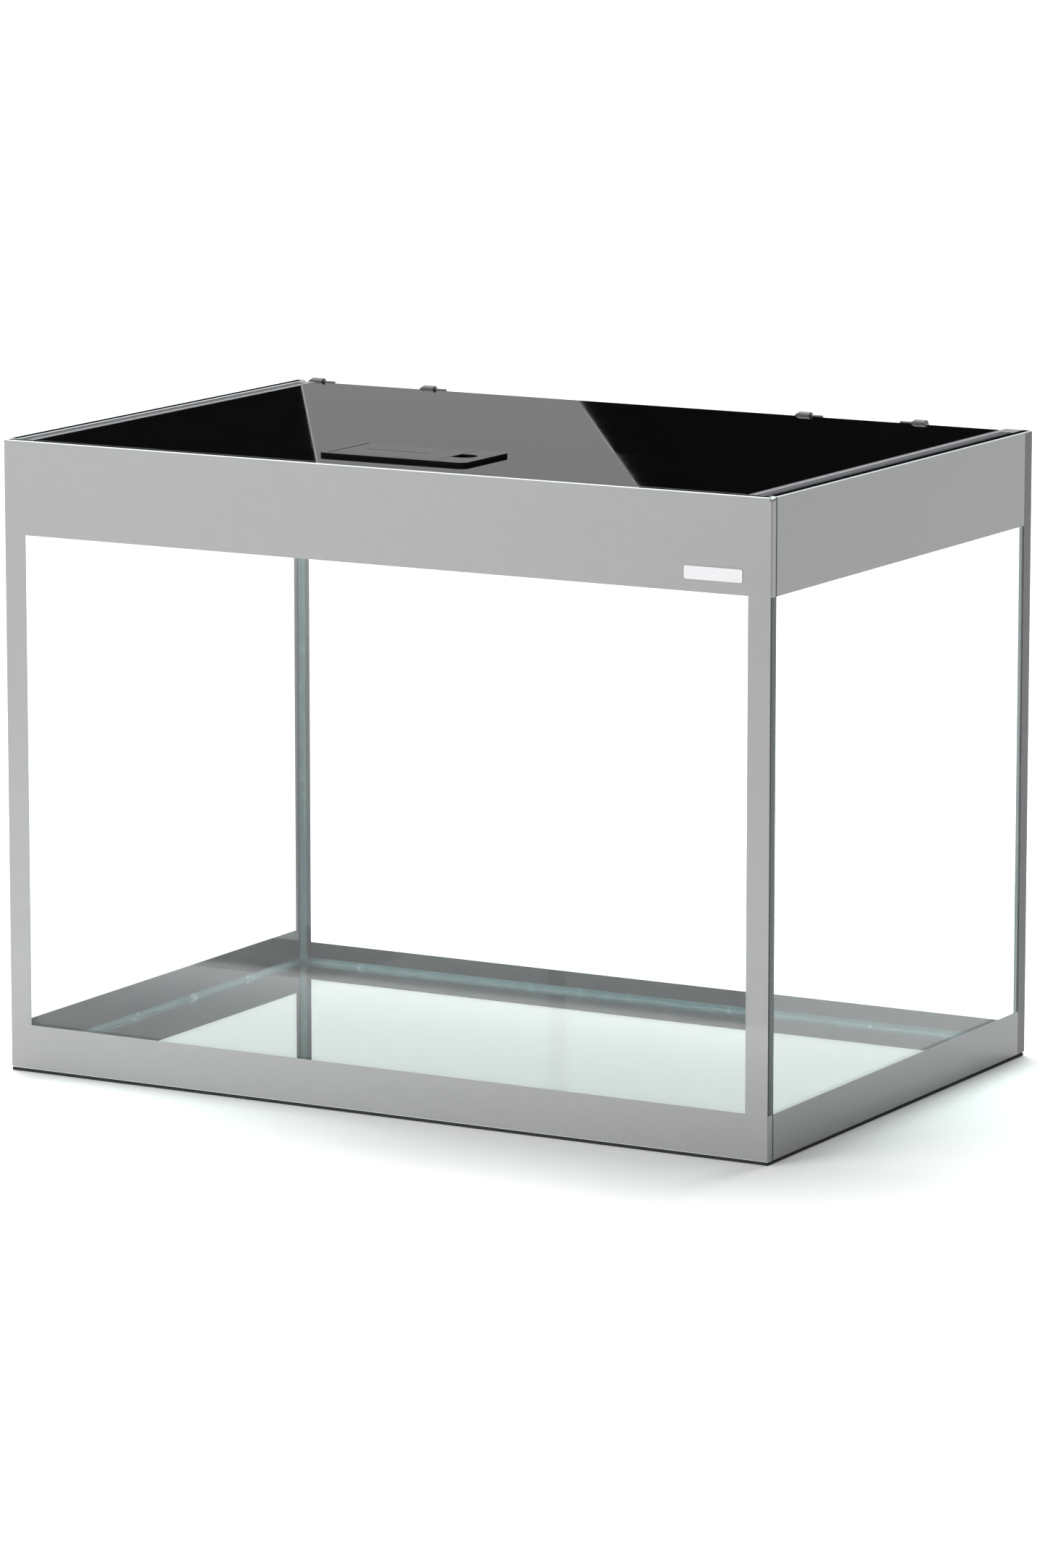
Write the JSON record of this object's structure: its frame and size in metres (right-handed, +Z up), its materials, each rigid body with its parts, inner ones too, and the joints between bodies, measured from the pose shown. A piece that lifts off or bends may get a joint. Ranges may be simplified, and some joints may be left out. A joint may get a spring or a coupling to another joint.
{
  "type": "glass aquarium tank",
  "caption": "Rectangular glass tank with lacquered bands, side rails, a rear-hinged dark glass lid with a feeding flap, and a light bar under it.",
  "frame": {"origin": "middle of the underside, on the surface the tank stands on", "axes": "+Z up, front pane towards -Y, +X to the right seen from the front"},
  "size_m": [0.8, 0.5262, 0.5993],
  "materials": {
    "foam": "closed-cell foam, matte",
    "glass": "clear float glass with ground edges",
    "lacquer": "glossy light grey lacquer on glass",
    "dark_lacquer": "dark grey satin lacquer",
    "silicone": "translucent silicone, sea-green cast",
    "aluminium": "satin anodised extrusion",
    "rubber": "matte",
    "grey_plastic": "fine moulded grain",
    "steel": "turned stainless steel",
    "black_plastic": "fine moulded grain",
    "chrome": "satin chrome",
    "black_glass": "opaque black float glass, mirror polish",
    "board": "white solder mask",
    "lamp": "phosphor-filled resin",
    "diffuser": "frosted clear plastic"
  },
  "bodies": {
    "tank": {"base_mat": "foam", "bottom_pane": "glass", "front_pane": "glass", "back_pane": "glass", "left_pane": "glass", "right_pane": "glass", "front_lacquer": "lacquer", "back_lacquer": "lacquer", "left_lacquer": "lacquer", "right_lacquer": "lacquer", "left_corner_strip": "dark_lacquer", "right_corner_strip": "dark_lacquer", "front_left_seam": "silicone", "front_right_seam": "silicone", "back_left_seam": "silicone", "back_right_seam": "silicone", "floor_seam": "silicone", "front_brace": "glass", "back_brace": "glass", "left_rail": "aluminium", "right_rail": "aluminium", "left_rail_seal": "rubber", "right_rail_seal": "rubber", "left_rail_cap": "grey_plastic", "right_rail_cap": "grey_plastic", "rail_screws": "steel", "hinge_mount_1": "black_plastic", "hinge_mount_2": "black_plastic", "hinge_mount_3": "black_plastic", "hinge_mount_4": "black_plastic", "hinge_pins": "steel", "blank_badge": "chrome"},
    "lid": {"lid_glass": "black_glass", "hinge_leaf_1": "black_plastic", "hinge_leaf_2": "black_plastic", "hinge_leaf_3": "black_plastic", "hinge_leaf_4": "black_plastic", "hatch_bezel": "black_plastic", "hatch_clamp": "black_plastic", "hatch_screws": "steel", "flap_pin": "steel"},
    "flap": {"hatch_flap": "black_plastic"},
    "light": {"light_housing": "aluminium", "light_board": "board", "light_lamps": "lamp", "light_diffuser": "diffuser", "light_left_cap": "black_plastic", "light_right_cap": "black_plastic", "light_gland": "rubber", "light_screws": "steel"}
  },
  "joints": [
    {"name": "lid_hinge", "type": "hinge", "parent": "tank", "child": "lid", "pos_m": [0, 0.2583, 0.5945], "axis": [-1, 0, 0], "range_deg": [0, 95]},
    {"name": "flap_hinge", "type": "hinge", "parent": "lid", "child": "flap", "pos_m": [-0.0792, -0.1746, 0.5972], "axis": [0, -1, 0], "range_deg": [0, 95]},
    {"name": "light_slide", "type": "slide", "parent": "tank", "child": "light", "axis": [0, 1, 0], "range_m": [-0.08, 0.12]}
  ]
}
